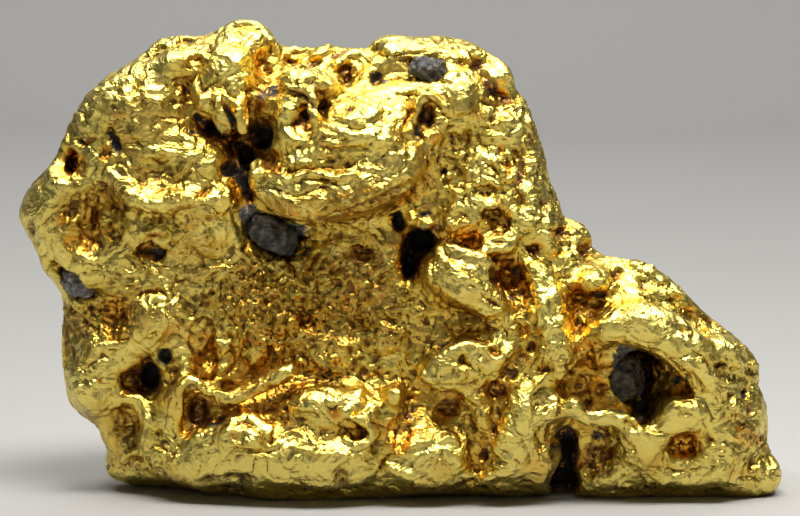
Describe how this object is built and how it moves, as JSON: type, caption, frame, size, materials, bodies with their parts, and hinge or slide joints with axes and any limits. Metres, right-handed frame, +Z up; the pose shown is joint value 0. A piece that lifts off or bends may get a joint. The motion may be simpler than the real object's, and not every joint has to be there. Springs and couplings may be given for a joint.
{
  "type": "gold nugget",
  "caption": "Large natural gold nugget standing on its long edge, with a domed upper left, a folded lip, deep pits and a low wing on the right.",
  "frame": {"origin": "under the middle of the nugget's bounding box, on the surface that it stands on", "axes": "+X along the nugget towards its low wing, +Y away from the show face, +Z up"},
  "size_m": [0.2558, 0.0836, 0.1596],
  "materials": {
    "gold": "natural gold, worn bright on the lumps, orange-brown in the hollows",
    "ironstone": "dull dark grey-brown ironstone",
    "quartz": "milky quartz, slightly stained"
  },
  "bodies": {
    "root": {"nugget": "gold", "ironstone_under_lip": "ironstone", "ironstone_in_wing": "ironstone", "ironstone_on_crown": "ironstone", "quartz_at_edge": "quartz"}
  },
  "joints": []
}
